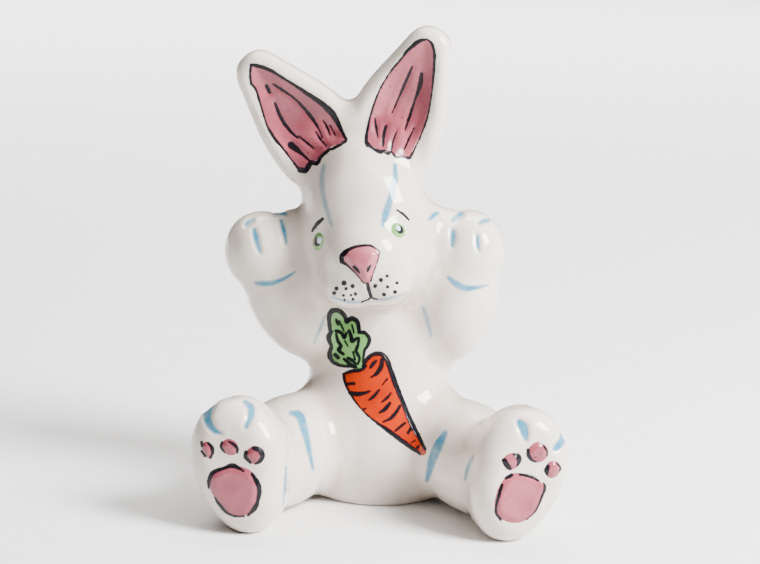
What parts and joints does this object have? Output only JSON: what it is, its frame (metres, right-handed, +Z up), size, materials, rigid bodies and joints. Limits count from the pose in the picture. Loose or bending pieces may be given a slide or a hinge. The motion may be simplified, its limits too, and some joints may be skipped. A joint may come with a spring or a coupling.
{
  "type": "rabbit figurine",
  "caption": "Sitting ceramic rabbit ornament with raised arms, upright ears, outstretched feet with pads and a carrot on its belly; hollow body with a drain hole.",
  "frame": {"origin": "middle of the drain hole's mouth, in the plane that the figurine stands on", "axes": "+Z up, -Y the way the rabbit faces, +X the rabbit's own left"},
  "size_m": [0.1145, 0.0983, 0.1512],
  "materials": {
    "white_glaze": "gloss",
    "pink_glaze": "gloss",
    "eye_green": "gloss",
    "carrot_orange": "gloss",
    "leaf_green": "gloss"
  },
  "bodies": {
    "root": {"body_shell": "white_glaze", "carrot_leaves": "leaf_green", "carrot_root": "carrot_orange", "head_shell": "white_glaze", "left_arm": "white_glaze", "left_ear": "white_glaze", "left_ear_lining": "pink_glaze", "left_eye": "eye_green", "left_leg": "white_glaze", "left_sole_pad": "pink_glaze", "left_toe_pads": "pink_glaze", "nose": "pink_glaze", "right_arm": "white_glaze", "right_ear": "white_glaze", "right_ear_lining": "pink_glaze", "right_eye": "eye_green", "right_leg": "white_glaze", "right_sole_pad": "pink_glaze", "right_toe_pads": "pink_glaze", "tail": "white_glaze"}
  },
  "joints": []
}
